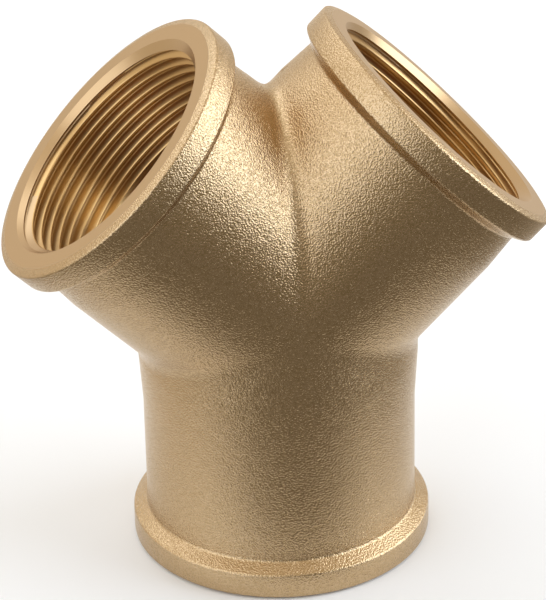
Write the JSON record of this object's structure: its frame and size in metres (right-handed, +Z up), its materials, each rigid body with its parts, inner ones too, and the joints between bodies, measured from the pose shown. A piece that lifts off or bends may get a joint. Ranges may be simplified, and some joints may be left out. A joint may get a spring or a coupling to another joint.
{
  "type": "wye pipe fitting",
  "caption": "Cast brass true wye pipe fitting: a leg and two equal branches at 45 degrees, each ending in a beaded collar with a female pipe thread.",
  "frame": {"origin": "centre of the leg's port face, which the fitting stands on", "axes": "+Z up along the leg's axis to the junction; both branch axes lie in the XZ plane, 45 degrees each side of +Z; +Y is the back, across the plane of the three axes"},
  "size_m": [0.1056, 0.0592, 0.1074],
  "materials": {
    "cast_brass": "shot-blasted cast brass skin, with machined port faces and threads"
  },
  "bodies": {
    "root": {"wye_body": "cast_brass"}
  },
  "joints": []
}
